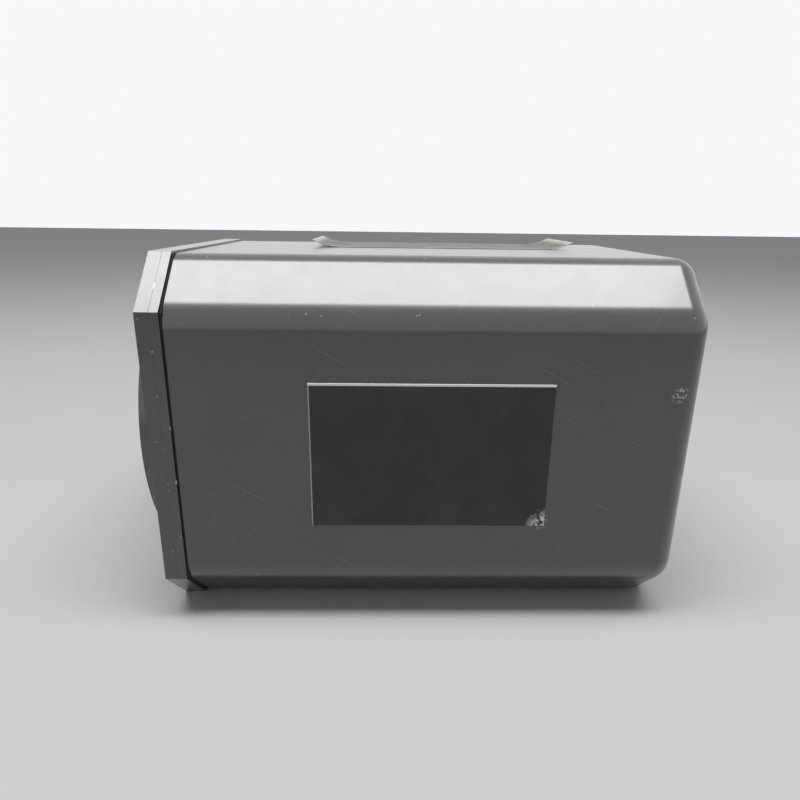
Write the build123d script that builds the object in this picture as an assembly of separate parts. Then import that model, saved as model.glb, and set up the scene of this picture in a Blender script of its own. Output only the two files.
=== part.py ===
from build123d import *
import os
from math import atan2, cos, degrees, hypot, pi, radians, sin, sqrt

# Panel-mounted course deviation indicator for a 3 1/8 inch instrument hole.
# X runs to the pilot's right, Y from the face to the rear, Z up.
# The origin is the middle of the flange's front face, which seats behind the panel.

# Flange and case
flange_width = 82.55
flange_chamfer = 11.05
bezel_thickness = 2.9
front_plate_thickness = 1.94
seam_thickness = 0.35
seam_inset = 0.65
case_width = 81.7
case_chamfer = 11.15
case_side_radius = 8.5
case_top_radius = 5.5
case_rear = 116.5
case_wall = 1.0
case_rear_radius = 5.0
case_fit = 0.3

# Panel ring and window
ring_radius = 38.2
ring_proud = 3.1
lip_radius = 34.0
lip_thickness = 1.05
glass_radius = 36.3
glass_thickness = 2.0
gasket_thickness = 0.8
gasket_width = 1.5
mask_opening = 33.5
mask_thickness = 0.8
mask_rim = 1.1
index_depth = 3.0
index_half_width = 1.8
plate_opening = 36.0

# Fits
slide_fit = 0.05
press_fit = 0.01
seat_gap = 0.05

# Panel screws: three brass inserts, with the knob in the fourth corner
panel_screw_radius = 44.45
insert_bore = 1.353
insert_radius = 2.75
insert_length = 7.0
bezel_screw_x = 36.6
bezel_screw_z = 21.5
bezel_screw_head = 1.6
bezel_screw_shank = 0.9
bezel_screw_head_depth = 1.2
bezel_screw_end = 4.6

# Chassis plates and rods
front_bulkhead_y = 12.0
mid_plate_y = 54.0
resolver_plate_y = 60.0
rear_plate_y = 104.0
plate_thickness = 1.5
rod_x = 22.0
rod_z = 35.5
rod_radius = 2.5

# Dial
dial_radius = 26.3
dial_y = 7.1
dial_thickness = 0.8
card_inner = 25.0
card_outer = 35.5
card_y = 8.0
card_thickness = 0.8
card_bearing_radius = 26.45
card_bearing_wall = 1.6
card_end_play = 0.3
post_radius = 1.2
post_places = [(0, 21.0), (21.0, 0), (-16.0, -15.0)]

# Course knob and its gears
knob_offset = 30.5
knob_radius = 7.0
knob_front = -17.0
knob_back = -4.5
knob_grooves = 16
knob_groove_radius = 0.7
set_screw_radius = 1.0
shaft_radius = 1.25
shaft_front = -15.0
shaft_end = 62.8
bushing_radius = 2.6
bushing_end = 9.0
gear_module = 0.75
knob_teeth = 10
idler_teeth = 13
card_teeth = 80
gear_width = 2.0
gear_y = 9.3
idler_pin_radius = 1.0
rear_module = 0.4
rear_knob_teeth = 10
resolver_teeth = 80
resolver_bearing = 60.0
resolver_gear_y = 57.0
resolver_gear_width = 1.5
resolver_shaft_radius = 1.5
resolver_radius = 11.0
resolver_length = 26.0
tooth_top = 0.65
tooth_root = 1.0

# Needles and their moving-coil movements
arm_offset = 19.2
arm_half = 0.5
needle_reach = 21.0
needle_thickness = 0.5
needle_half_width = 0.6
needle_swing = 14.0
pivot_y = 42.0
loc_needle_y = 2.2
gs_needle_y = 4.8
slot_clearance = 0.8
coil_half_width = 5.5
coil_half_length = 6.0
coil_wire = 1.2
coil_depth = 2.4
pivot_radius = 0.5
pivot_end = 8.0
ear_gap = 0.4
ear_width = 6.0
core_radius = 3.4
core_length = 7.0
core_stub_radius = 1.5
frame_front = 6.2
frame_half_width = 7.0

# Flags: name, pivot place (x, z), vane reach
flags = [("nav_flag", 12.5, 12.5, 6.0), ("gs_flag", -8.0, 14.0, 5.0), ("to_from_flag", 14.0, -6.0, 6.0)]
vane_y = 9.3
vane_thickness = 0.4
vane_shaft_radius = 0.6
vane_half_angle = 32.0
flag_can_radius = 4.5
flag_can_length = 11.0
window_width = 5.6
window_height = 4.0

# Rear connector and fasteners
aperture_width = 56.0
aperture_height = 30.0
back_plate_width = 70.0
back_plate_height = 54.0
back_plate_thickness = 1.6
rear_screw_x = 31.0
rear_screw_z = 22.0
standoff_radius = 3.0
rear_screw_shank = 1.4
rear_screw_head = 2.7
rear_screw_head_height = 1.5
rear_screw_length = 6.5
socket_width = 38.9
socket_height = 8.4
socket_slant = 1.4
socket_corner = 2.2
socket_wall = 0.5
socket_proud = 6.0
socket_flange_width = 53.0
socket_flange_height = 12.5
socket_flange_thickness = 1.0
contact_pitch = 2.76
contact_row = 2.84
contact_radius = 0.6
contact_bore = 0.5
contact_tail = 4.5
jack_spacing = 47.04
jack_bore = 1.13
jack_flats = 4.8
jack_length = 5.0

# Circuit boards and what they carry
side_board_x = 30.0
side_board_half = 24.0
top_board_z = 27.0
top_board_half = 18.0
board_thickness = 1.6
chip_length = 12.0
chip_width = 6.4
chip_height = 3.2
capacitor_radius = 4.0
capacitor_length = 12.0
trimmer_size = 6.6

# Plates on the outside
nameplate_y = 33.5
nameplate_length = 51.4
nameplate_low = -16.6
nameplate_height = 32.6
nameplate_thickness = 0.25
label_y = 30.4
label_length = 67.2
label_width = 26.0
label_near_x = 0.5
label_thickness = 0.2
label_curl_length = 7.0
label_curl_height = 1.7

# Derived places
case_front = bezel_thickness + front_plate_thickness + seam_thickness
glass_front = lip_thickness - ring_proud
glass_back = glass_front + glass_thickness
gasket_back = glass_back + gasket_thickness
knob_axis = (-knob_offset, -knob_offset)
back_plate_y = case_rear - case_wall - back_plate_thickness
insert_place = panel_screw_radius / sqrt(2)
insert_places = [(insert_place, insert_place), (-insert_place, insert_place), (insert_place, -insert_place)]
rod_places = [(sx * rod_x, sz * rod_z) for sx in (-1, 1) for sz in (-1, 1)]
rear_screw_places = [(sx * rear_screw_x, sz * rear_screw_z) for sx in (-1, 1) for sz in (-1, 1)]
coil_centre = arm_offset + coil_half_length - coil_wire / 2
card_bearing_y = card_y + card_thickness


def slab(sketch, front, thickness):
    """A plate whose outline is drawn as seen from the front, from `front` rearwards."""
    plane = Plane(origin=(0, front + thickness, 0), x_dir=(1, 0, 0), z_dir=(0, -1, 0))
    return extrude(plane * sketch, amount=thickness)


def rod(place, front, back, radius):
    """A round bar along Y at (x, z)."""
    x, z = place
    return slab(Pos(x, z) * Circle(radius), front, back - front)


def block(x0, x1, y0, y1, z0, z1):
    middle = Pos((x0 + x1) / 2, (y0 + y1) / 2, (z0 + z1) / 2)
    return middle * Box(x1 - x0, y1 - y0, z1 - z0)


def octagon(width, leg):
    """A square with four equal corners cut off; `leg` is what each cut takes from a side."""
    h = width / 2
    k = h - leg
    corners = [(h, -k), (h, k), (k, h), (-k, h), (-h, k), (-h, -k), (-k, -h), (k, -h)]
    return make_face(Polyline(corners, close=True))


def inset_leg(leg, gap):
    """The corner leg of an octagon whose eight sides all move in by `gap`."""
    return leg - gap * (2 - sqrt(2))


def soft_octagon(width, leg, side_radius, top_radius):
    h = width / 2
    outline = octagon(width, leg)
    sides = [v for v in outline.vertices() if abs(abs(v.X) - h) < 1e-6]
    outline = fillet(sides, side_radius)
    tops = [v for v in outline.vertices() if abs(abs(v.Y) - h) < 1e-6 and abs(abs(v.X) - h + leg) < 1e-6]
    return fillet(tops, top_radius)


def group(pieces):
    return Compound([solid for piece in pieces for solid in piece.solids()])


def ring(outer, inner, front, thickness):
    return slab(Circle(outer) - Circle(inner), front, thickness)


def gear(module, teeth, bore, place, front, width, tooth_at):
    """A straight-cut wheel; `tooth_at` is the direction of one tooth in degrees."""
    pitch_radius = module * teeth / 2
    half_pitch = module * pi / 2
    levels = [(pitch_radius - tooth_root * module, 0.44), (pitch_radius, 0.38)]
    levels.append((pitch_radius + tooth_top * module, 0.18))
    profile = [(r, -share * half_pitch / r) for r, share in levels]
    profile += [(r, -turn) for r, turn in reversed(profile)]
    points = []
    for tooth in range(teeth):
        centre = radians(tooth_at) + tooth * 2 * pi / teeth
        points += [(r * cos(centre + turn), r * sin(centre + turn)) for r, turn in profile]
    outline = make_face(Polyline(points, close=True)) - Circle(bore)
    return slab(Pos(*place) * outline, front, width)


def gear_places():
    """The idler's axis, and the directions from it to the card's axis and to the knob's."""
    to_card = gear_module * (card_teeth + idler_teeth) / 2
    to_knob = gear_module * (knob_teeth + idler_teeth) / 2
    span = hypot(*knob_axis)
    along = (to_card ** 2 + span ** 2 - to_knob ** 2) / (2 * span)
    aside = sqrt(max(to_card ** 2 - along ** 2, 0))
    ux, uz = knob_axis[0] / span, knob_axis[1] / span
    idler = (ux * along - uz * aside, uz * along + ux * aside)
    card_way = degrees(atan2(-idler[1], -idler[0]))
    knob_way = degrees(atan2(knob_axis[1] - idler[1], knob_axis[0] - idler[0]))
    return idler, card_way, knob_way


idler_axis, idler_to_card, idler_to_knob = gear_places()
rear_distance = rear_module * (rear_knob_teeth + resolver_teeth) / 2
resolver_axis = (knob_axis[0] + rear_distance * cos(radians(resolver_bearing)),
                 knob_axis[1] + rear_distance * sin(radians(resolver_bearing)))


def front_bezel():
    body = slab(octagon(flange_width, flange_chamfer), 0, bezel_thickness)
    body += slab(Circle(ring_radius), -ring_proud, ring_proud)
    body -= slab(Circle(lip_radius), -ring_proud, ring_proud)
    body -= slab(Circle(glass_radius + slide_fit), glass_front, bezel_thickness - glass_front)
    for place in insert_places:
        body -= rod(place, 0, bezel_thickness, insert_radius + press_fit)
    body -= rod(knob_axis, 0, bezel_thickness, bushing_radius + press_fit)
    for place in bezel_screw_places():
        body -= rod(place, 0, bezel_screw_head_depth, bezel_screw_head + slide_fit)
        body -= rod(place, 0, bezel_thickness, bezel_screw_shank + slide_fit)
    return body


def bezel_screw_places():
    return [(sx * bezel_screw_x, sz * bezel_screw_z) for sx in (-1, 1) for sz in (-1, 1)]


def bezel_screws():
    pieces = []
    for place in bezel_screw_places():
        screw = rod(place, seat_gap, bezel_screw_head_depth - seat_gap, bezel_screw_head)
        screw += rod(place, seat_gap, bezel_screw_end, bezel_screw_shank)
        x, z = place
        screw -= block(x - bezel_screw_head, x + bezel_screw_head, 0, 0.5, z - 0.25, z + 0.25)
        pieces.append(screw)
    return group(pieces)


def window_glass():
    return rod((0, 0), glass_front, glass_back, glass_radius)


def glass_gasket():
    return ring(glass_radius, glass_radius - gasket_width, glass_back, gasket_thickness)


def dial_mask():
    body = ring(glass_radius, mask_opening, gasket_back, mask_thickness)
    body += ring(glass_radius, glass_radius - mask_rim, gasket_back, bezel_thickness - gasket_back)
    tip = mask_opening - index_depth
    mark = Polyline([(0, tip), (index_half_width, mask_opening + 1), (-index_half_width, mask_opening + 1)],
                    close=True)
    return body + slab(make_face(mark), gasket_back, mask_thickness)


def chassis_front_plate():
    body = slab(octagon(flange_width, flange_chamfer), bezel_thickness, front_plate_thickness)
    back = bezel_thickness + front_plate_thickness
    body -= rod((0, 0), bezel_thickness, back, plate_opening)
    for place in insert_places:
        body -= rod(place, bezel_thickness, back, insert_radius + press_fit)
    body -= rod(knob_axis, bezel_thickness, back, bushing_radius + press_fit)
    for place in bezel_screw_places():
        body -= rod(place, bezel_thickness, back, bezel_screw_shank + press_fit)
    return body


def seam_gasket():
    width = flange_width - 2 * seam_inset
    front = case_front - seam_thickness
    body = slab(octagon(width, inset_leg(flange_chamfer, seam_inset)), front, seam_thickness)
    inner = case_width - 2 * case_wall
    return body - slab(octagon(inner, inset_leg(case_chamfer, case_wall)), front, seam_thickness)


def case_solid(gap, front, rear, rear_radius):
    outline = soft_octagon(case_width - 2 * gap, inset_leg(case_chamfer, gap),
                           case_side_radius - gap, case_top_radius - gap)
    body = slab(outline, front, rear - front)
    return fillet(body.faces().sort_by(Axis.Y)[-1].edges(), rear_radius)


def case_cover():
    body = case_solid(0, case_front, case_rear, case_rear_radius)
    body -= case_solid(case_wall, case_front - 1, case_rear - case_wall, case_rear_radius - case_wall)
    opening = RectangleRounded(aperture_width, aperture_height, 4)
    body -= slab(opening, case_rear - case_wall, case_wall)
    for place in rear_screw_places:
        body -= rod(place, case_rear - case_wall, case_rear, rear_screw_shank + 0.2)
    return body


def chassis_plate(front, holes, slots=()):
    """A bulkhead that fits inside the case, with (place, radius) holes and block slots."""
    gap = case_wall + case_fit
    outline = soft_octagon(case_width - 2 * gap, inset_leg(case_chamfer, gap),
                           case_side_radius - gap, case_top_radius - gap)
    body = slab(outline, front, plate_thickness)
    for place in rod_places:
        body -= rod(place, front, front + plate_thickness, rod_radius + slide_fit)
    for place, radius in holes:
        body -= rod(place, front, front + plate_thickness, radius)
    for slot in slots:
        body -= slot
    return body


def arm_slots(front, thickness):
    """The two gaps that the needle arms swing in, wide enough at this depth."""
    sweep = (pivot_y - front) * sin(radians(needle_swing)) + arm_half + slot_clearance
    low = -arm_offset - arm_half - slot_clearance
    high = -arm_offset + arm_half + slot_clearance
    back = front + thickness
    return [block(-sweep, sweep, front, back, low, high), block(low, high, front, back, -sweep, sweep)]


def front_bulkhead():
    holes = [(knob_axis, shaft_radius + slide_fit), (idler_axis, idler_pin_radius + press_fit)]
    holes += [((x, z), vane_shaft_radius + 0.1) for name, x, z, reach in flags]
    return chassis_plate(front_bulkhead_y, holes, arm_slots(front_bulkhead_y, plate_thickness))


def mid_chassis_plate():
    return chassis_plate(mid_plate_y, [(knob_axis, shaft_radius + slide_fit)])


def resolver_plate():
    holes = [(resolver_axis, resolver_shaft_radius + slide_fit), (knob_axis, shaft_radius + slide_fit)]
    return chassis_plate(resolver_plate_y, holes)


def rear_chassis_plate():
    return chassis_plate(rear_plate_y, [])


def tie_rods():
    front = bezel_thickness + front_plate_thickness
    back = rear_plate_y + plate_thickness + 1
    return group([rod(place, front, back, rod_radius) for place in rod_places])


def mount_inserts():
    return group([rod(place, 0, insert_length, insert_radius) - rod(place, 0, insert_length, insert_bore)
                  for place in insert_places])


def centre_dial():
    body = rod((0, 0), dial_y, dial_y + dial_thickness, dial_radius)
    for slot in arm_slots(dial_y, dial_thickness):
        body -= slot
    for name, x, z, reach in flags:
        body -= block(x - window_width / 2, x + window_width / 2, dial_y, dial_y + dial_thickness,
                      z, z + window_height)
    return body


def dial_posts():
    front = dial_y + dial_thickness
    return group([rod(place, front, front_bulkhead_y, post_radius) for place in post_places])


def compass_card():
    return ring(card_outer, card_inner, card_y, card_thickness)


def card_gear():
    return gear(gear_module, card_teeth, card_bearing_radius + slide_fit, (0, 0), card_bearing_y,
                front_bulkhead_y - card_end_play - card_bearing_y,
                idler_to_card + 180 + 180 / card_teeth)


def card_bearing():
    front = card_bearing_y + card_end_play
    inner = card_bearing_radius - card_bearing_wall
    return ring(card_bearing_radius, inner, front, front_bulkhead_y - front)


def obs_knob():
    body = rod(knob_axis, knob_front, knob_back, knob_radius)
    body = fillet(body.faces().sort_by(Axis.Y)[0].edges(), 1.0)
    x, z = knob_axis
    for groove in range(knob_grooves):
        turn = 2 * pi * (groove + 0.5) / knob_grooves
        centre = (x + knob_radius * cos(turn), z + knob_radius * sin(turn))
        body -= rod(centre, knob_front + 1.5, knob_back, knob_groove_radius)
    body -= rod(knob_axis, shaft_front - seat_gap, knob_back, shaft_radius + press_fit)
    return body - set_screw(set_screw_radius + press_fit, knob_radius + 1)


def set_screw(radius, reach):
    """A radial screw in the knob's side, from the shaft outwards to `reach`."""
    x, z = knob_axis
    start = x + shaft_radius + seat_gap
    middle = Pos((start + x + reach) / 2, (knob_front + knob_back) / 2, z)
    return middle * Rot(0, 90, 0) * Cylinder(radius, x + reach - start)


def knob_set_screw():
    return set_screw(set_screw_radius, knob_radius - 1)


def obs_shaft():
    return rod(knob_axis, shaft_front, shaft_end, shaft_radius)


def obs_bushing():
    body = rod(knob_axis, 0, bushing_end, bushing_radius)
    return body - rod(knob_axis, 0, bushing_end, shaft_radius + slide_fit)


def front_pinion():
    lag = (idler_to_knob - idler_to_card) % (360 / idler_teeth)
    gap_at = idler_to_knob + 180 + lag * idler_teeth / knob_teeth
    return gear(gear_module, knob_teeth, shaft_radius + press_fit, knob_axis, gear_y, gear_width,
                gap_at + 180 / knob_teeth)


def idler_gear():
    return gear(gear_module, idler_teeth, idler_pin_radius + slide_fit, idler_axis, gear_y, gear_width,
                idler_to_card)


def idler_pin():
    return rod(idler_axis, gear_y - 0.3, front_bulkhead_y + plate_thickness, idler_pin_radius)


def rear_pinion():
    return gear(rear_module, rear_knob_teeth, shaft_radius + press_fit, knob_axis, resolver_gear_y,
                resolver_gear_width, resolver_bearing)


def resolver_gear():
    return gear(rear_module, resolver_teeth, resolver_shaft_radius + press_fit, resolver_axis,
                resolver_gear_y, resolver_gear_width, resolver_bearing + 180 + 180 / resolver_teeth)


def resolver_shaft():
    return rod(resolver_axis, resolver_gear_y - 0.4, resolver_plate_y + plate_thickness + 3,
               resolver_shaft_radius)


def resolver_body():
    front = resolver_plate_y + plate_thickness
    body = rod(resolver_axis, front, front + resolver_length, resolver_radius)
    return body - rod(resolver_axis, front, front + 3.5, resolver_shaft_radius + slide_fit)


def upright_movement():
    """The localizer's moving-coil movement, its coil turning about an upright axis."""
    z = -coil_centre
    outer = block(-coil_half_width, coil_half_width, pivot_y - coil_depth / 2, pivot_y + coil_depth / 2,
                  z - coil_half_length, z + coil_half_length)
    inner_x = coil_half_width - coil_wire
    inner_z = coil_half_length - coil_wire
    coil = outer - block(-inner_x, inner_x, pivot_y - coil_depth, pivot_y + coil_depth,
                         z - inner_z, z + inner_z)
    for side in (-1, 1):
        middle = z + side * (coil_half_length + pivot_end) / 2
        coil += Pos(0, pivot_y, middle) * Cylinder(pivot_radius, pivot_end - coil_half_length)
    back = pivot_y + frame_front
    top = pivot_end + 0.4
    frame = block(-frame_half_width, frame_half_width, back, mid_plate_y, z - top, z + top)
    for side in (-1, 1):
        near = z + side * (coil_half_length + ear_gap)
        far = z + side * top
        frame += block(-ear_width / 2, ear_width / 2, pivot_y - ear_width / 2, back,
                       min(near, far), max(near, far))
        bore = Pos(0, pivot_y, z + side * coil_half_length)
        frame -= bore * Cylinder(pivot_radius + slide_fit, 2 * (pivot_end + seat_gap - coil_half_length))
    core = Pos(0, pivot_y, z) * Cylinder(core_radius, core_length)
    core += rod((0, z), pivot_y, back, core_stub_radius)
    return coil, frame, core


def needle(front):
    """The localizer pointer: a bar across the dial and an arm back to the coil."""
    bar = block(-needle_half_width, needle_half_width, front, front + needle_thickness,
                -arm_offset - arm_half, needle_reach)
    arm = block(-arm_half, arm_half, front, pivot_y - coil_depth / 2, -arm_offset - arm_half,
                -arm_offset + arm_half)
    return bar + arm


def on_side(shape):
    """Turns an upright movement a quarter about Y, from below the dial to its left."""
    return Rot(0, 90, 0) * shape


def flag_vane(x, z, reach):
    half = radians(vane_half_angle)
    edge = [(reach * sin(half * step / 4), reach * cos(half * step / 4)) for step in range(-4, 5)]
    vane = make_face(Polyline([(0, 0)] + edge, close=True)) + Circle(1.4)
    body = slab(Pos(x, z) * vane, vane_y, vane_thickness)
    end = front_bulkhead_y + plate_thickness + 1
    return body + rod((x, z), vane_y, end, vane_shaft_radius)


def flag_meters():
    front = front_bulkhead_y + plate_thickness
    pieces = []
    for name, x, z, reach in flags:
        can = rod((x, z), front, front + flag_can_length, flag_can_radius)
        pieces.append(can - rod((x, z), front, front + 1.5, vane_shaft_radius + slide_fit))
    return group(pieces)


def back_plate():
    body = slab(Rectangle(back_plate_width, back_plate_height), back_plate_y, back_plate_thickness)
    body -= slab(socket_outline(-seat_gap), back_plate_y, back_plate_thickness)
    for place in rear_screw_places:
        body -= rod(place, back_plate_y, back_plate_y + back_plate_thickness, rear_screw_shank + 0.1)
    return body


def rear_standoffs():
    front = rear_plate_y + plate_thickness
    return group([rod(place, front, back_plate_y, standoff_radius)
                  - rod(place, case_rear - rear_screw_length, back_plate_y, rear_screw_shank + press_fit)
                  for place in rear_screw_places])


def cover_screws():
    pieces = []
    for place in rear_screw_places:
        head_end = case_rear + rear_screw_head_height
        screw = rod(place, case_rear, head_end, rear_screw_head)
        screw += rod(place, case_rear - rear_screw_length + seat_gap, case_rear, rear_screw_shank)
        x, z = place
        slot = block(x - 0.3, x + 0.3, head_end - 0.8, head_end, z - 1.5, z + 1.5)
        slot += block(x - 1.5, x + 1.5, head_end - 0.8, head_end, z - 0.3, z + 0.3)
        pieces.append(screw - slot)
    return group(pieces)


def socket_outline(gap):
    """The D-shaped outline of the rear socket, moved in by `gap`."""
    top = socket_width / 2 - gap
    low = top - socket_slant
    high = socket_height / 2 - gap
    outline = make_face(Polyline([(-top, high), (top, high), (low, -high), (-low, -high)], close=True))
    return fillet(outline.vertices(), socket_corner - gap)


def connector_shell():
    flange = slab(Rectangle(socket_flange_width, socket_flange_height),
                  back_plate_y - socket_flange_thickness, socket_flange_thickness)
    tube_length = case_rear - case_wall + socket_proud - back_plate_y
    body = flange + slab(socket_outline(0), back_plate_y, tube_length)
    through = tube_length + socket_flange_thickness
    return body - slab(socket_outline(socket_wall), back_plate_y - socket_flange_thickness, through)


def contact_places():
    upper = [((step - 6) * contact_pitch, contact_row / 2) for step in range(13)]
    lower = [((step - 5.5) * contact_pitch, -contact_row / 2) for step in range(12)]
    return upper + lower


def connector_insulator():
    front = back_plate_y - socket_flange_thickness
    body = slab(socket_outline(socket_wall + seat_gap), front, socket_proud)
    for place in contact_places():
        body -= rod(place, front + 1, front + socket_proud, contact_bore)
    return body


def connector_contacts():
    front = back_plate_y - socket_flange_thickness
    return group([rod(place, front - contact_tail, front, contact_radius) for place in contact_places()])


def jack_screws():
    front = back_plate_y + back_plate_thickness
    pieces = []
    for side in (-1, 1):
        place = (side * jack_spacing / 2, 0)
        nut = slab(Pos(*place) * RegularPolygon(jack_flats / 2, 6, major_radius=False), front, jack_length)
        pieces.append(nut - rod(place, front, front + jack_length, jack_bore))
    return group(pieces)


def board_span():
    return resolver_plate_y + plate_thickness, rear_plate_y


def side_board():
    front, back = board_span()
    return block(side_board_x, side_board_x + board_thickness, front, back,
                 -side_board_half, side_board_half)


def top_board():
    front, back = board_span()
    return block(-top_board_half, top_board_half, front, back, top_board_z, top_board_z + board_thickness)


def board_chips():
    front, back = board_span()
    pieces = []
    for row in range(3):
        y = front + 6 + row * 12
        for z in (-14, 4):
            pieces.append(block(side_board_x - chip_height, side_board_x, y, y + chip_width,
                                z, z + chip_length))
        pieces.append(block(-chip_length, 0, y, y + chip_width, top_board_z - chip_height, top_board_z))
    return group(pieces)


def board_capacitors():
    front, back = board_span()
    x = top_board_half - capacitor_radius - 3
    low = top_board_z - capacitor_length
    return group([Pos(x, y, low + capacitor_length / 2) * Cylinder(capacitor_radius, capacitor_length)
                  for y in (front + 8, front + 20, front + 32)])


def trimmers():
    front, back = board_span()
    y = back - 3 - trimmer_size
    pieces = []
    for x in (-15, -6, 3):
        can = block(x, x + trimmer_size, y, y + trimmer_size, top_board_z + board_thickness,
                    top_board_z + board_thickness + trimmer_size / 2)
        pieces.append(can)
    return group(pieces)


def side_nameplate():
    side = case_width / 2
    return block(side, side + nameplate_thickness, nameplate_y, nameplate_y + nameplate_length,
                 nameplate_low, nameplate_low + nameplate_height)


def top_label():
    """A thin sheet along the top whose two ends lift from the case."""
    end = label_y + label_length
    steps = [step / 4 for step in range(5)]
    rise = [(label_y + label_curl_length * t, label_curl_height * (1 - t) ** 2) for t in steps]
    fall = [(end - label_curl_length * t, label_curl_height * (1 - t) ** 2) for t in reversed(steps)]
    lower = rise + fall
    upper = [(y, height + label_thickness) for y, height in reversed(lower)]
    outline = make_face(Polyline(lower + upper, close=True))
    plane = Plane(origin=(label_near_x, 0, case_width / 2), x_dir=(0, 1, 0), z_dir=(1, 0, 0))
    return extrude(plane * outline, amount=-label_width)


def build():
    loc_coil, loc_frame, loc_core = upright_movement()
    pieces = {
        "front_bezel": front_bezel(),
        "bezel_screws": bezel_screws(),
        "window_glass": window_glass(),
        "glass_gasket": glass_gasket(),
        "dial_mask": dial_mask(),
        "chassis_front_plate": chassis_front_plate(),
        "seam_gasket": seam_gasket(),
        "case_cover": case_cover(),
        "front_bulkhead": front_bulkhead(),
        "mid_chassis_plate": mid_chassis_plate(),
        "resolver_plate": resolver_plate(),
        "rear_chassis_plate": rear_chassis_plate(),
        "tie_rods": tie_rods(),
        "mount_inserts": mount_inserts(),
        "centre_dial": centre_dial(),
        "dial_posts": dial_posts(),
        "compass_card": compass_card(),
        "card_gear": card_gear(),
        "card_bearing": card_bearing(),
        "obs_knob": obs_knob(),
        "knob_set_screw": knob_set_screw(),
        "obs_shaft": obs_shaft(),
        "obs_bushing": obs_bushing(),
        "front_pinion": front_pinion(),
        "idler_gear": idler_gear(),
        "idler_pin": idler_pin(),
        "rear_pinion": rear_pinion(),
        "resolver_gear": resolver_gear(),
        "resolver_shaft": resolver_shaft(),
        "resolver_body": resolver_body(),
        "localizer_coil": loc_coil,
        "localizer_frame": loc_frame,
        "localizer_magnet": loc_core,
        "localizer_needle": needle(loc_needle_y),
        "glideslope_coil": on_side(loc_coil),
        "glideslope_frame": on_side(loc_frame),
        "glideslope_magnet": on_side(loc_core),
        "glideslope_needle": on_side(needle(gs_needle_y)),
        "flag_meters": flag_meters(),
        "back_plate": back_plate(),
        "rear_standoffs": rear_standoffs(),
        "cover_screws": cover_screws(),
        "connector_shell": connector_shell(),
        "connector_insulator": connector_insulator(),
        "connector_contacts": connector_contacts(),
        "jack_screws": jack_screws(),
        "side_board": side_board(),
        "top_board": top_board(),
        "board_chips": board_chips(),
        "board_capacitors": board_capacitors(),
        "trimmers": trimmers(),
        "side_nameplate": side_nameplate(),
        "top_label": top_label(),
    }
    for name, x, z, reach in flags:
        pieces[name] = flag_vane(x, z, reach)
    return pieces


os.makedirs("parts", exist_ok=True)
for name, piece in build().items():
    export_step(piece, "parts/" + name + ".step")
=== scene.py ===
# %% [markdown]
# # A panel-mounted course deviation indicator
# The construction arrives as a fixed frame of nodes. This lesson gives each surface its
# finish, adds the printed dial, and sets a camera and soft studio light round the result.

# %% Load the frame
from math import pi, radians

import bmesh
import bpy
from mathutils import Matrix, Vector


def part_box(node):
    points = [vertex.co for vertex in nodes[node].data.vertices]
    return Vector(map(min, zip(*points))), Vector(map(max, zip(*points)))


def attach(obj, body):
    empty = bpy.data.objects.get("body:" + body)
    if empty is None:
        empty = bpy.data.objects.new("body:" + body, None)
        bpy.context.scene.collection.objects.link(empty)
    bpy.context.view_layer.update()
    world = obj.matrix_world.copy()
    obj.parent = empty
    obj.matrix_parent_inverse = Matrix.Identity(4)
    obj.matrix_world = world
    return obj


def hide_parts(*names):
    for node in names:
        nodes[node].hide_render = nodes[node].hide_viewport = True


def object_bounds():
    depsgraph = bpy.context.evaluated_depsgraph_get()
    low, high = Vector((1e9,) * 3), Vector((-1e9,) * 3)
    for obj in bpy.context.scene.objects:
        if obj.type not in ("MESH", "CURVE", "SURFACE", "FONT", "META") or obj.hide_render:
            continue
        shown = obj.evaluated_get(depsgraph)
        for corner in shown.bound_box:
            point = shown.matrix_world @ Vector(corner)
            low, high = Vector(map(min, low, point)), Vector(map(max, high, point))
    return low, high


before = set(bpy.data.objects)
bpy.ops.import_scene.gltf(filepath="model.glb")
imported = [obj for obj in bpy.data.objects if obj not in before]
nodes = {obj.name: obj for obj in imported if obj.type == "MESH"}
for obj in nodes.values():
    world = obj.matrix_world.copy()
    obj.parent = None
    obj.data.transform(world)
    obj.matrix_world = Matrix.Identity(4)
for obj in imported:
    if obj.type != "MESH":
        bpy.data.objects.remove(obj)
cad_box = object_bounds()
scene = bpy.context.scene
MM = 0.001
print("nodes", len(nodes))

# %% [markdown]
# ## Camera
# The instrument lies with its right side towards us. A short lens close to it gives the
# strong perspective of a hand-held close-up, so the camera is placed by three turns
# from a straight look along -X, rather than by a tracking constraint.

# %% Camera
CAMERA_PLACE = Vector((157.7, 50.05, 49.3)) * MM
CAMERA_LENS = 26.62
CAMERA_SENSOR = 36
CAMERA_CLIP = 1 * MM
CAMERA_TURNS = {"yaw": -1.23, "pitch": 17.49, "roll": -0.75}


def place_camera():
    ahead, right, up = Vector((-1, 0, 0)), Vector((0, 1, 0)), Vector((0, 0, 1))
    turn = Matrix.Rotation(radians(CAMERA_TURNS["yaw"]), 3, up)
    ahead, right = turn @ ahead, turn @ right
    turn = Matrix.Rotation(radians(-CAMERA_TURNS["pitch"]), 3, right)
    ahead, up = turn @ ahead, turn @ up
    turn = Matrix.Rotation(radians(CAMERA_TURNS["roll"]), 3, ahead)
    right, up = turn @ right, turn @ up
    data = bpy.data.cameras.new("camera")
    data.sensor_width = CAMERA_SENSOR
    data.lens = CAMERA_LENS
    data.clip_start = CAMERA_CLIP
    camera = bpy.data.objects.new("camera", data)
    axes = Matrix((right, up, -ahead)).transposed()
    camera.matrix_world = Matrix.Translation(CAMERA_PLACE) @ axes.to_4x4()
    scene.collection.objects.link(camera)
    scene.camera = camera


place_camera()
print("camera at", tuple(round(v, 4) for v in CAMERA_PLACE))

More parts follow.
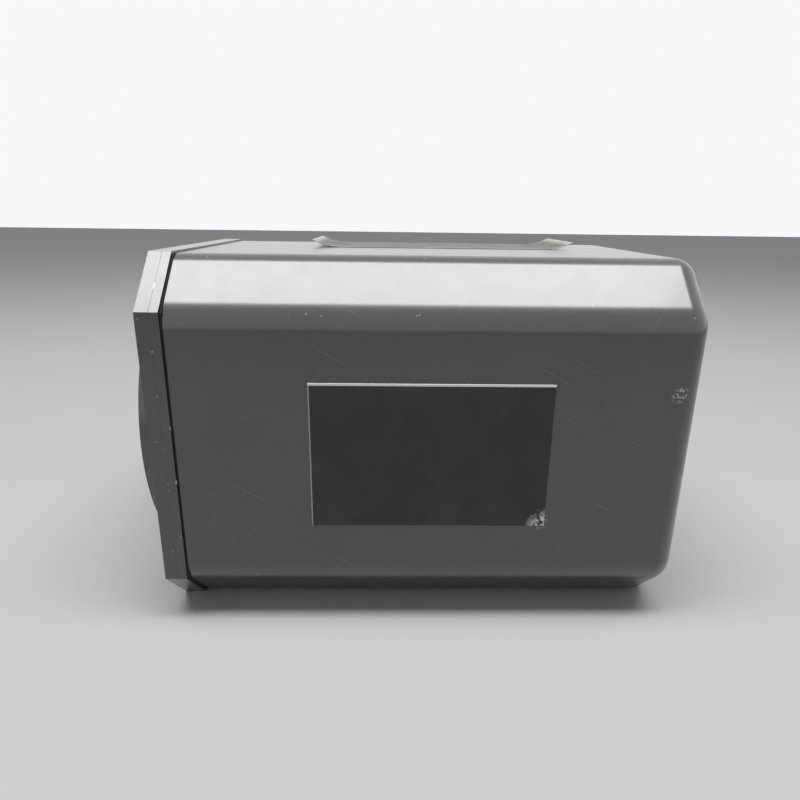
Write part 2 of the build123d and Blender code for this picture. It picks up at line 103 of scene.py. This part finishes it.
# %% [markdown]
# ## Floor and light
# Satin black paint shows its form only by what it mirrors. One long narrow lamp overhead
# draws the bright band along the sloping corner, and a pale world fills the rest.
# The background is white to the camera and to mirrors, but lights the object less.

# %% Floor and light
WORLD_FILL = 0.22
WORLD_COLOUR = (0.93, 0.94, 0.96, 1)
LAMP_WATTS = 5.4
LAMP_SIZE = (0.26, 0.9)
LAMP_PLACE = Vector((0.115, 0.055, 0.75))
FLOOR_COLOUR = (0.68, 0.68, 0.67, 1)
FLOOR_ROUGHNESS = 0.9
FLOOR_HALF = 3.0


def white_to_the_eye(tree, strength_socket, fill):
    """Full strength for camera, glossy and transmission rays, `fill` for the light itself."""
    path = tree.nodes.new("ShaderNodeLightPath")
    seen = tree.nodes.new("ShaderNodeMath")
    seen.operation = "MAXIMUM"
    tree.links.new(path.outputs["Is Camera Ray"], seen.inputs[0])
    tree.links.new(path.outputs["Is Transmission Ray"], seen.inputs[1])
    any_seen = tree.nodes.new("ShaderNodeMath")
    any_seen.operation = "MAXIMUM"
    tree.links.new(seen.outputs[0], any_seen.inputs[0])
    tree.links.new(path.outputs["Is Glossy Ray"], any_seen.inputs[1])
    level = tree.nodes.new("ShaderNodeMapRange")
    level.inputs["To Min"].default_value = fill
    level.inputs["To Max"].default_value = 1.0
    tree.links.new(any_seen.outputs[0], level.inputs["Value"])
    tree.links.new(level.outputs["Result"], strength_socket)


def studio():
    world = bpy.data.worlds.new("studio")
    world.use_nodes = True
    back = world.node_tree.nodes["Background"]
    back.inputs["Color"].default_value = WORLD_COLOUR
    white_to_the_eye(world.node_tree, back.inputs["Strength"], WORLD_FILL)
    scene.world = world
    lamp = bpy.data.lights.new("overhead", "AREA")
    lamp.shape = "RECTANGLE"
    lamp.size, lamp.size_y = LAMP_SIZE
    lamp.energy = LAMP_WATTS
    holder = bpy.data.objects.new("overhead", lamp)
    holder.location = LAMP_PLACE
    scene.collection.objects.link(holder)
    scene.view_settings.view_transform = "Standard"


def studio_floor():
    mesh = bpy.data.meshes.new("floor")
    low, half = cad_box[0][2], FLOOR_HALF
    corners = [(-half, -half, low), (half, -half, low), (half, half, low), (-half, half, low)]
    mesh.from_pydata(corners, [], [(0, 1, 2, 3)])
    floor = bpy.data.objects.new("floor", mesh)
    scene.collection.objects.link(floor)
    material = bpy.data.materials.new("studio_floor")
    material.use_nodes = True
    shader = material.node_tree.nodes["Principled BSDF"]
    shader.inputs["Base Color"].default_value = FLOOR_COLOUR
    shader.inputs["Roughness"].default_value = FLOOR_ROUGHNESS
    mesh.materials.append(material)


studio()
studio_floor()
print("lamp", LAMP_SIZE, "floor at", round(cad_box[0][2], 5))

# %% [markdown]
# ## A workshop for materials
# Every finish starts from the same idea: a noise on Object coordinates varies the colour
# and the roughness, and all but the glass lift the surface too. Small helpers keep each
# recipe short.

# %% Material helpers
class Finish:
    """A new material with its shader and the object's own coordinates at hand."""

    def __init__(self, name):
        self.material = bpy.data.materials.new(name)
        self.material.use_nodes = True
        self.tree = self.material.node_tree
        self.shader = self.tree.nodes["Principled BSDF"]
        self.place = self.tree.nodes.new("ShaderNodeTexCoord").outputs["Object"]

    def set(self, **values):
        for name, value in values.items():
            self.shader.inputs[name.replace("_", " ")].default_value = value

    def node(self, kind, **links):
        made = self.tree.nodes.new(kind)
        for name, value in links.items():
            self.feed(made.inputs[name.replace("_", " ")], value)
        return made

    def feed(self, socket, value):
        if isinstance(value, bpy.types.NodeSocket):
            self.tree.links.new(value, socket)
        else:
            socket.default_value = value

    def math(self, operation, first, second=0.0):
        made = self.tree.nodes.new("ShaderNodeMath")
        made.operation = operation
        self.feed(made.inputs[0], first)
        self.feed(made.inputs[1], second)
        return made.outputs[0]

    def noise(self, scale, detail=3.0, stretch=None, turn=(0, 0, 0)):
        place = self.place
        if stretch:
            turned = self.node("ShaderNodeMapping", Vector=place, Rotation=turn)
            place = turned.outputs["Vector"]
            place = self.node("ShaderNodeMapping", Vector=place, Scale=stretch).outputs["Vector"]
        made = self.node("ShaderNodeTexNoise", Vector=place, Scale=scale, Detail=detail)
        return made.outputs["Fac"]

    def ramp(self, value, low, high, to_low=0.0, to_high=1.0):
        made = self.node("ShaderNodeMapRange", Value=value, From_Min=low, From_Max=high,
                         To_Min=to_low, To_Max=to_high)
        return made.outputs["Result"]

    def mix(self, amount, first, second):
        """Blends two colours; the numbers are the sockets a colour mix uses."""
        made = self.tree.nodes.new("ShaderNodeMix")
        made.data_type = "RGBA"
        self.feed(made.inputs[0], amount)
        self.feed(made.inputs[6], first)
        self.feed(made.inputs[7], second)
        return made.outputs[2]

    def axes(self):
        return self.node("ShaderNodeSeparateXYZ", Vector=self.place).outputs

    def band(self, axis, centre, half, soft):
        """1 within `half` of `centre` along an axis, fading to 0 over `soft`."""
        away = self.math("ABSOLUTE", self.math("SUBTRACT", axis, centre))
        return self.ramp(away, half, half + soft, 1.0, 0.0)

    def spot(self, centre, radius):
        """1 at a place on the object, fading to 0 at `radius`."""
        made = self.tree.nodes.new("ShaderNodeVectorMath")
        made.operation = "DISTANCE"
        self.feed(made.inputs[0], self.place)
        made.inputs[1].default_value = centre
        return self.ramp(made.outputs["Value"], radius * 0.3, radius, 1.0, 0.0)

    def paint(self, colour):
        self.feed(self.shader.inputs["Base Color"], colour)

    def roughness(self, value):
        self.feed(self.shader.inputs["Roughness"], value)

    def bump(self, height, depth, strength):
        made = self.node("ShaderNodeBump", Height=height, Distance=depth, Strength=strength)
        self.feed(self.shader.inputs["Normal"], made.outputs["Normal"])


def rgb(red, green, blue):
    return (red, green, blue, 1.0)


# %% [markdown]
# ## Worn satin paint
# The cover is baked satin paint, handled for years. Fine orange peel softens the mirror,
# pale lint sits on it, long hairline scratches run two ways, dark smudges show where it
# was held and pale scuffs where it was knocked. Each is its own mask, so each can be made
# stronger or weaker.

# %% Worn satin paint
PAINT = rgb(0.013, 0.0118, 0.0122)
PAINT_RUBBED = rgb(0.021, 0.019, 0.019)
LINT = rgb(0.42, 0.40, 0.38)
ALUMINIUM = rgb(0.70, 0.68, 0.65)
SMUDGE_DARK = rgb(0.004, 0.004, 0.004)
SMUDGE_STRENGTH, HAIR_STRENGTH, LINT_STRENGTH = 0.8, 0.13, 0.6
PAINT_SMOOTH, PAINT_ROUGH, LINT_ROUGH = 0.29, 0.36, 0.3
COAT_WEIGHT, COAT_ROUGHNESS, COAT_IOR = 0.85, 0.2, 1.75
HAIR_STRETCH = (60, 45, 3600)
HAIR_SETS = ((0.5, 0.73), (-0.9, 0.74))
LINT_SETS = ((700, 0.05), (1700, 0.03))
CHIP_HALF, CHIP_SOFT = 0.07 * MM, 0.12 * MM
# Each mark is a place on the cover and its radius, in millimetres.
SMUDGES = [((40.9, 27, 27.9), 4.0), ((40.9, 21, -9.5), 5.0), ((40.9, 108, -29), 2.0),
           ((39, 71, 36), 4.0)]
SCUFFS = [((40.9, 111, 14), 2.2), ((37.5, 106, 40), 1.6), ((41.1, 83.5, -15.5), 2.5)]


def lint(finish, size, share):
    """Small specks: the middles of a few cells of a Voronoi pattern."""
    cells = finish.node("ShaderNodeTexVoronoi", Vector=finish.place, Scale=size)
    picked = finish.node("ShaderNodeSeparateColor", Color=cells.outputs["Color"]).outputs[0]
    chosen = finish.ramp(picked, 1 - share, 1 - share + 0.02)
    middle = finish.ramp(cells.outputs["Distance"], 0.08, 0.20, 1.0, 0.0)
    return finish.math("MULTIPLY", chosen, middle)


def hairlines(finish, turn, level):
    """Long thin scratches in patches, turned by `turn` about both X and Z."""
    lines = finish.ramp(finish.noise(1, 1.0, HAIR_STRETCH, (turn, 0, turn)), level, level + 0.03)
    return finish.math("MULTIPLY", lines, finish.ramp(finish.noise(55, 2.0), 0.48, 0.56))


def worn_paint(name, edges=()):
    finish = Finish(name)
    rubbed = finish.ramp(finish.noise(45, 4.0), 0.42, 0.68)
    colour = finish.mix(rubbed, PAINT, PAINT_RUBBED)
    rough = finish.ramp(finish.noise(260, 5.0), 0.3, 0.7, PAINT_SMOOTH, PAINT_ROUGH)
    for centre, radius in SMUDGES:
        patchy = finish.math("MULTIPLY", finish.spot(Vector(centre) * MM, radius * MM),
                             finish.ramp(finish.noise(900, 3.0), 0.45, 0.6))
        colour = finish.mix(finish.math("MULTIPLY", patchy, SMUDGE_STRENGTH), colour, SMUDGE_DARK)
    lines = finish.math("MAXIMUM", *[hairlines(finish, *one) for one in HAIR_SETS])
    marks = finish.math("MAXIMUM", *[lint(finish, *one) for one in LINT_SETS])
    colour = finish.mix(finish.math("MULTIPLY", lines, HAIR_STRENGTH), colour, LINT)
    colour = finish.mix(finish.math("MULTIPLY", marks, LINT_STRENGTH), colour, LINT)
    for centre, radius in SCUFFS:
        patchy = finish.math("MULTIPLY", finish.spot(Vector(centre) * MM, radius * MM),
                             finish.ramp(finish.noise(1500, 3.0), 0.5, 0.56))
        colour = finish.mix(patchy, colour, LINT)
    axes = finish.axes()
    for place, level in edges:
        chipped = finish.math("MULTIPLY", finish.band(axes["Y"], place, CHIP_HALF, CHIP_SOFT),
                              finish.ramp(finish.noise(420, 4.0), level, level + 0.06))
        colour = finish.mix(chipped, colour, ALUMINIUM)
    finish.paint(colour)
    finish.set(Coat_Weight=COAT_WEIGHT, Coat_Roughness=COAT_ROUGHNESS, Coat_IOR=COAT_IOR)
    finish.roughness(finish.math("ADD", rough, finish.math("MULTIPLY", marks, LINT_ROUGH)))
    peel = finish.math("ADD", finish.noise(1400, 2.0), finish.math("MULTIPLY", lines, -0.3))
    finish.bump(peel, 0.03 * MM, 0.35)
    return finish.material


bezel_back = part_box("front_bezel")[1][1]
plate_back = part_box("chassis_front_plate")[1][1]
case_paint = worn_paint("case_paint")
flange_paint = worn_paint("flange_paint", [(bezel_back, 0.60), (plate_back, 0.66)])
print("paint made, band edges at", round(bezel_back, 5), round(plate_back, 5))

# %% [markdown]
# ## Metals, plastics and the rest
# The parts behind the window and at the rear share a recipe whose numbers differ: two
# tones, a roughness range, the grain's scale and how deep it is. A stretched grain reads
# as a brushed or turned surface, an even one as cast, moulded or printed.

# %% Metals, plastics and the rest
# Tone, worn tone, then the smoothest and roughest, how metallic, and the grain's scale,
# stretch and depth in millimetres.
GRAINS = {
    "chassis_metal": (
        rgb(0.52, 0.50, 0.42), rgb(0.60, 0.57, 0.47),
        0.30, 0.46, 1.0, 300, (1, 8, 1), 0.010),
    "turned_brass": (
        rgb(0.58, 0.42, 0.17), rgb(0.68, 0.52, 0.24),
        0.24, 0.38, 1.0, 800, (1, 6, 1), 0.010),
    "machined_steel": (
        rgb(0.40, 0.40, 0.41), rgb(0.52, 0.52, 0.53),
        0.24, 0.38, 1.0, 700, (1, 7, 1), 0.010),
    "gold_plate": (
        rgb(0.78, 0.58, 0.24), rgb(0.86, 0.66, 0.32),
        0.16, 0.28, 1.0, 900, (1, 1, 1), 0.005),
    "copper_wire": (
        rgb(0.42, 0.15, 0.06), rgb(0.55, 0.22, 0.09),
        0.30, 0.45, 0.9, 2500, (1, 9, 1), 0.030),
    "black_oxide": (
        rgb(0.018, 0.018, 0.020), rgb(0.04, 0.038, 0.036),
        0.38, 0.55, 0.6, 900, (1, 1, 1), 0.015),
    "dial_black": (
        rgb(0.009, 0.009, 0.010), rgb(0.016, 0.016, 0.017),
        0.60, 0.78, 0.0, 1600, (1, 1, 1), 0.012),
    "knob_plastic": (
        rgb(0.014, 0.014, 0.015), rgb(0.03, 0.029, 0.028),
        0.42, 0.60, 0.0, 1300, (1, 1, 1), 0.030),
    "socket_plastic": (
        rgb(0.016, 0.018, 0.024), rgb(0.028, 0.03, 0.036),
        0.40, 0.55, 0.0, 1200, (1, 1, 1), 0.015),
    "seal_rubber": (
        rgb(0.010, 0.010, 0.010), rgb(0.022, 0.021, 0.020),
        0.70, 0.88, 0.0, 1500, (1, 1, 1), 0.030),
    "circuit_board": (
        rgb(0.02, 0.11, 0.045), rgb(0.03, 0.16, 0.065),
        0.32, 0.46, 0.0, 500, (1, 5, 1), 0.010),
    "needle_paint": (
        rgb(0.80, 0.80, 0.76), rgb(0.86, 0.86, 0.82),
        0.50, 0.65, 0.0, 1100, (1, 1, 1), 0.010),
    "flag_red": (
        rgb(0.56, 0.035, 0.02), rgb(0.66, 0.055, 0.03),
        0.50, 0.65, 0.0, 1100, (1, 1, 1), 0.010),
    "dial_print": (
        rgb(0.78, 0.78, 0.74), rgb(0.84, 0.84, 0.80),
        0.55, 0.70, 0.0, 1800, (1, 1, 1), 0.006),
}
PANE_IOR, PANE_HAZE = 1.45, 0.025
PANE_TINTS = (rgb(0.94, 0.97, 0.96), rgb(0.97, 0.98, 0.97))


def grained(name):
    tone, worn, smooth, rough, metallic, scale, stretch, depth = GRAINS[name]
    finish = Finish(name)
    grain = finish.noise(scale, 4.0, stretch)
    cloud = finish.ramp(finish.noise(70, 3.0), 0.35, 0.65)
    finish.paint(finish.mix(cloud, tone, worn))
    finish.set(Metallic=metallic)
    finish.roughness(finish.ramp(grain, 0.3, 0.7, smooth, rough))
    finish.bump(grain, depth * MM, 0.4)
    return finish.material


def window_pane():
    finish = Finish("window_pane")
    finish.set(Transmission_Weight=1.0, IOR=PANE_IOR)
    finish.paint(finish.mix(finish.noise(60), *PANE_TINTS))
    finish.roughness(finish.ramp(finish.noise(240, 5.0), 0.5, 0.8, 0.0, PANE_HAZE))
    return finish.material


MATERIALS = {name: grained(name) for name in GRAINS}
MATERIALS["window_pane"] = window_pane()
WEARS = {
    "chassis_metal": "front_bulkhead mid_chassis_plate resolver_plate rear_chassis_plate "
                     "back_plate tie_rods rear_standoffs dial_posts card_bearing",
    "turned_brass": "mount_inserts obs_bushing idler_gear front_pinion rear_pinion "
                    "resolver_gear card_gear",
    "machined_steel": "obs_shaft idler_pin resolver_shaft knob_set_screw resolver_body "
                      "localizer_frame glideslope_frame localizer_magnet glideslope_magnet",
    "gold_plate": "connector_contacts",
    "copper_wire": "localizer_coil glideslope_coil",
    "dial_black": "dial_mask centre_dial compass_card flag_meters",
    "socket_plastic": "connector_insulator board_chips board_capacitors trimmers",
    "seal_rubber": "glass_gasket seam_gasket",
    "circuit_board": "side_board top_board",
    "needle_paint": "localizer_needle glideslope_needle to_from_flag",
    "flag_red": "nav_flag gs_flag",
    "window_pane": "window_glass",
}


def dress(piece, material):
    if piece.data.materials:
        for slot in piece.material_slots:
            slot.material = material
    else:
        piece.data.materials.append(material)


for name, wearers in WEARS.items():
    for node in wearers.split():
        dress(nodes[node], MATERIALS[name])
print("finishes", len(MATERIALS))

# %% [markdown]
# ## The plate and the label
# The side plate is a dark foil with bare bright edges. The label is aged dark film,
# paler at its border and where its ends have lifted. Both are left without words.

# %% The plate and the label
plate_low, plate_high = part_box("side_nameplate")
label_low, label_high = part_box("top_label")
FOIL, FOIL_WORN = rgb(0.011, 0.0085, 0.012), rgb(0.021, 0.017, 0.022)
FILM, FILM_WORN = rgb(0.075, 0.078, 0.070), rgb(0.13, 0.135, 0.12)
FILM_PALE = rgb(0.62, 0.64, 0.58)
BARE_TOP, BARE_FRONT, BARE_CORNER = 0.45 * MM, 0.22 * MM, 4.5 * MM
BARE_METALLIC = 0.6
FILM_BORDER, FILM_LIFT = 0.35 * MM, 1.0 * MM
EDGE_SOFT = 0.1 * MM


def plate_foil():
    finish = Finish("plate_foil")
    axes = finish.axes()
    tone = finish.mix(finish.ramp(finish.noise(120, 4.0), 0.4, 0.65), FOIL, FOIL_WORN)
    tone = finish.mix(finish.math("MULTIPLY", lint(finish, 1100, 0.03), 0.5), tone, LINT)
    top = finish.band(axes["Z"], plate_high[2], BARE_TOP, EDGE_SOFT)
    front = finish.band(axes["Y"], plate_low[1], BARE_FRONT, EDGE_SOFT)
    corner = finish.spot((plate_high[0], plate_high[1], plate_low[2]), BARE_CORNER)
    scuffed = finish.math("MULTIPLY", corner, finish.ramp(finish.noise(700, 4.0), 0.45, 0.55))
    rims = finish.math("MAXIMUM", top, finish.math("MULTIPLY", front, 0.5))
    bare = finish.math("MAXIMUM", rims, scuffed)
    finish.paint(finish.mix(bare, tone, ALUMINIUM))
    finish.feed(finish.shader.inputs["Metallic"], finish.math("MULTIPLY", bare, BARE_METALLIC))
    finish.roughness(finish.ramp(finish.noise(500, 4.0), 0.3, 0.7, 0.30, 0.45))
    finish.bump(finish.noise(900, 3.0), 0.02 * MM, 0.3)
    return finish.material


def aged_film():
    finish = Finish("aged_film")
    axes = finish.axes()
    tone = finish.mix(finish.ramp(finish.noise(150, 4.0), 0.4, 0.65), FILM, FILM_WORN)
    border = finish.band(axes["X"], label_high[0], FILM_BORDER, EDGE_SOFT)
    lifted = finish.ramp(axes["Z"], label_low[2] + FILM_LIFT, label_high[2])
    pale = finish.math("MAXIMUM", border, lifted)
    finish.paint(finish.mix(pale, tone, FILM_PALE))
    finish.roughness(finish.ramp(finish.noise(400, 4.0), 0.3, 0.7, 0.35, 0.55))
    finish.bump(finish.noise(500, 4.0), 0.05 * MM, 0.5)
    return finish.material


print("plate", [round(v, 4) for v in plate_low], "label", [round(v, 4) for v in label_low])

# %% [markdown]
# ## Softened edges
# No real edge is perfectly sharp, and the thin bright line along a broken edge is what
# makes a metal part look made. A merged copy of each outer piece gets a narrow bevel, and
# weighted normals keep its flats flat. The copy stands for the node it came from.

# %% Softened edges
MERGE_WITHIN = 1e-6
FLAT_WITHIN = radians(0.4)
SHARP_ABOVE = radians(40)
BEVEL_SEGMENTS = 2


def evaluated_mesh(piece):
    """The mesh that an object's modifiers, or a text's letters, come to."""
    bpy.context.view_layer.update()
    seen = piece.evaluated_get(bpy.context.evaluated_depsgraph_get())
    return bpy.data.meshes.new_from_object(seen)


def softened(node, width, material, slot):
    """A finished copy of a node, with its edges broken by `width` millimetres."""
    mesh = nodes[node].data.copy()
    work = bmesh.new()
    work.from_mesh(mesh)
    bmesh.ops.remove_doubles(work, verts=work.verts, dist=MERGE_WITHIN)
    bmesh.ops.dissolve_limit(work, angle_limit=FLAT_WITHIN, verts=work.verts, edges=work.edges)
    work.to_mesh(mesh)
    work.free()
    mesh.shade_smooth()
    mesh.set_sharp_from_angle(angle=SHARP_ABOVE)
    piece = bpy.data.objects.new(node + "_finished", mesh)
    scene.collection.objects.link(piece)
    bevel = piece.modifiers.new("edge", "BEVEL")
    bevel.width = width * MM
    bevel.segments = BEVEL_SEGMENTS
    bevel.limit_method = "ANGLE"
    bevel.angle_limit = SHARP_ABOVE
    piece.modifiers.new("flats", "WEIGHTED_NORMAL").keep_sharp = True
    baked = evaluated_mesh(piece)
    piece.modifiers.clear()
    piece.data = baked
    baked.materials.clear()
    baked.materials.append(material)
    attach(piece, "knob_body" if node == "obs_knob" else "housing")
    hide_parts(node)
    return piece


OUTER_PIECES = [
    ("case_cover", 0.12, case_paint, "painted_case"),
    ("front_bezel", 0.18, flange_paint, "painted_case"),
    ("chassis_front_plate", 0.15, flange_paint, "painted_case"),
    ("side_nameplate", 0.06, plate_foil(), "nameplate"),
    ("top_label", 0.04, aged_film(), "label"),
    ("obs_knob", 0.15, MATERIALS["knob_plastic"], "knob"),
    ("cover_screws", 0.12, MATERIALS["black_oxide"], "black_screws"),
    ("bezel_screws", 0.05, MATERIALS["black_oxide"], "black_screws"),
    ("connector_shell", 0.08, MATERIALS["machined_steel"], "steel"),
    ("jack_screws", 0.12, MATERIALS["machined_steel"], "steel"),
]
for entry in OUTER_PIECES:
    made = softened(*entry)
    print(made.name, len(made.data.polygons), "faces")

# %% [markdown]
# ## Printed ticks
# The card carries a tick every five degrees and a longer one every ten. Geometry Nodes
# stamp one bar at each point of a circle and turn it to point at the middle, so the count,
# radius and bar size stay open as named inputs.

# %% Printed ticks
PRINT_DEPTH = 0.06 * MM
DOT_SIDES = 20
CARD_MARGIN = 2.1 * MM
# Name, how many, then the length and width in millimetres.
TICKS = (("card_ticks_ten", 36, 2.6, 0.45), ("card_ticks_five", 72, 1.5, 0.28))


def node_tree(name, inputs):
    tree = bpy.data.node_groups.new(name, "GeometryNodeTree")
    kinds = {"Count": "NodeSocketInt", "Ink": "NodeSocketMaterial"}
    for label in inputs:
        kind = kinds.get(label, "NodeSocketFloat")
        tree.interface.new_socket(name=label, in_out="INPUT", socket_type=kind)
    tree.interface.new_socket(name="Geometry", in_out="OUTPUT", socket_type="NodeSocketGeometry")
    given = tree.nodes.new("NodeGroupInput").outputs
    return tree, given, tree.nodes.new("NodeGroupOutput").inputs


def finish_tree(tree, points, stamp, turn, ink, result):
    """Stamps on points, made real, stood up to face -Y, and inked."""
    place = tree.nodes.new("GeometryNodeInstanceOnPoints")
    tree.links.new(points, place.inputs["Points"])
    tree.links.new(stamp, place.inputs["Instance"])
    if turn:
        tree.links.new(turn, place.inputs["Rotation"])
    upright = tree.nodes.new("GeometryNodeTransform")
    upright.inputs["Rotation"].default_value = (pi / 2, 0, 0)
    tree.links.new(place.outputs["Instances"], upright.inputs["Geometry"])
    real = tree.nodes.new("GeometryNodeRealizeInstances")
    tree.links.new(upright.outputs["Geometry"], real.inputs["Geometry"])
    inked = tree.nodes.new("GeometryNodeSetMaterial")
    tree.links.new(real.outputs["Geometry"], inked.inputs["Geometry"])
    tree.links.new(ink, inked.inputs["Material"])
    tree.links.new(inked.outputs["Geometry"], result)


def tick_tree():
    tree, given, result = node_tree("card_ticks", ["Count", "Radius", "Length", "Width", "Ink"])
    circle = tree.nodes.new("GeometryNodeMeshCircle")
    tree.links.new(given["Count"], circle.inputs["Vertices"])
    tree.links.new(given["Radius"], circle.inputs["Radius"])
    size = tree.nodes.new("ShaderNodeCombineXYZ")
    tree.links.new(given["Length"], size.inputs["X"])
    tree.links.new(given["Width"], size.inputs["Y"])
    size.inputs["Z"].default_value = PRINT_DEPTH
    bar = tree.nodes.new("GeometryNodeMeshCube")
    tree.links.new(size.outputs["Vector"], bar.inputs["Size"])
    where = tree.nodes.new("ShaderNodeSeparateXYZ")
    point = tree.nodes.new("GeometryNodeInputPosition")
    tree.links.new(point.outputs["Position"], where.inputs["Vector"])
    angle = tree.nodes.new("ShaderNodeMath")
    angle.operation = "ARCTAN2"
    tree.links.new(where.outputs["Y"], angle.inputs[0])
    tree.links.new(where.outputs["X"], angle.inputs[1])
    turn = tree.nodes.new("ShaderNodeCombineXYZ")
    tree.links.new(angle.outputs[0], turn.inputs["Z"])
    finish_tree(tree, circle.outputs["Mesh"], bar.outputs["Mesh"], turn.outputs["Vector"],
                given["Ink"], result["Geometry"])
    return tree


def dot_tree():
    tree, given, result = node_tree("deviation_dots", ["Count", "Start", "Step", "Radius", "Ink"])
    line = tree.nodes.new("GeometryNodeMeshLine")
    tree.links.new(given["Count"], line.inputs["Count"])
    for label, socket in (("Start", "Start Location"), ("Step", "Offset")):
        along = tree.nodes.new("ShaderNodeCombineXYZ")
        tree.links.new(given[label], along.inputs["X"])
        tree.links.new(along.outputs["Vector"], line.inputs[socket])
    dot = tree.nodes.new("GeometryNodeMeshCylinder")
    dot.inputs["Vertices"].default_value = DOT_SIDES
    dot.inputs["Depth"].default_value = PRINT_DEPTH
    tree.links.new(given["Radius"], dot.inputs["Radius"])
    finish_tree(tree, line.outputs["Mesh"], dot.outputs["Mesh"], None,
                given["Ink"], result["Geometry"])
    return tree


def printed(name, tree, body, on, **values):
    """Runs a tree once and lays its result on the face at y = `on`."""
    piece = bpy.data.objects.new(name, bpy.data.meshes.new(name))
    scene.collection.objects.link(piece)
    modifier = piece.modifiers.new(name, "NODES")
    modifier.node_group = tree
    values["Ink"] = MATERIALS["dial_print"]
    for item in tree.interface.items_tree:
        if item.in_out == "INPUT":
            modifier[item.identifier] = values[item.name]
    mesh = evaluated_mesh(piece)
    piece.modifiers.clear()
    piece.data = mesh
    mesh.transform(Matrix.Translation((0, on - PRINT_DEPTH / 2, 0)))
    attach(piece, body)
    return piece


card_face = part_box("compass_card")[0][1]
card_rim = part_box("compass_card")[1][0]
dial_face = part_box("centre_dial")[0][1]
ticks = tick_tree()
window_rim = card_rim - CARD_MARGIN
for name, count, length, width in TICKS:
    made = printed(name, ticks, "card_body", card_face, Count=count,
                   Radius=window_rim - length * MM / 2, Length=length * MM, Width=width * MM)
    print(name, len(made.data.polygons), "faces")

# %% [markdown]
# ## Deviation dots and numerals
# Two rows of dots give the pilot the size of the error: one across for the localizer, one
# upright for the glideslope. The card's numerals are the usual headings in tens of degrees
# with the four quarter letters. Text is made a mesh before its place is applied.

# %% Deviation dots and numerals
DOT_STEP = 2.6 * MM
FIRST_DOT = 2 * DOT_STEP
DOTS_A_SIDE = 4
DOT_RADIUS = 0.55 * MM
NUMERAL_HEIGHT = 3.4 * MM
NUMERAL_INSET = 4.7 * MM
HEADINGS = ["N", "3", "6", "E", "12", "15", "S", "21", "24", "W", "30", "33"]
dots = dot_tree()


def dot_rows():
    rows = [("dots_across", None), ("dots_upright", Matrix.Rotation(pi / 2, 4, "Y"))]
    for name, turn in rows:
        for side in (-1, 1):
            label = name + ("_left" if side < 0 else "_right")
            piece = printed(label, dots, "housing", dial_face, Count=DOTS_A_SIDE,
                            Start=side * FIRST_DOT, Step=side * DOT_STEP, Radius=DOT_RADIUS)
            if turn:
                piece.data.transform(turn)
            print(label, len(piece.data.polygons), "faces")


def numeral(word, bearing):
    curve = bpy.data.curves.new("heading_" + word, "FONT")
    curve.body = word
    curve.size = NUMERAL_HEIGHT
    curve.align_x = "CENTER"
    curve.align_y = "CENTER"
    curve.extrude = PRINT_DEPTH / 2
    text = bpy.data.objects.new("text_" + word, curve)
    scene.collection.objects.link(text)
    mesh = evaluated_mesh(text)
    bpy.data.objects.remove(text)
    radius = window_rim - NUMERAL_INSET
    mesh.transform(Matrix.Rotation(pi / 2, 4, "X"))
    mesh.transform(Matrix.Translation((0, card_face - PRINT_DEPTH / 2, radius)))
    mesh.transform(Matrix.Rotation(bearing, 4, "Y"))
    mesh.materials.clear()
    mesh.materials.append(MATERIALS["dial_print"])
    piece = bpy.data.objects.new("heading_" + word, mesh)
    scene.collection.objects.link(piece)
    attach(piece, "card_body")


dot_rows()
for index, word in enumerate(HEADINGS):
    numeral(word, index * 2 * pi / len(HEADINGS))
print("headings", len(HEADINGS))

# %% [markdown]
# ## Measure and finish
# The construction's box is written out. The looks may not outgrow the construction.

# %% Measure and finish
print("cad", [list(corner) for corner in cad_box])
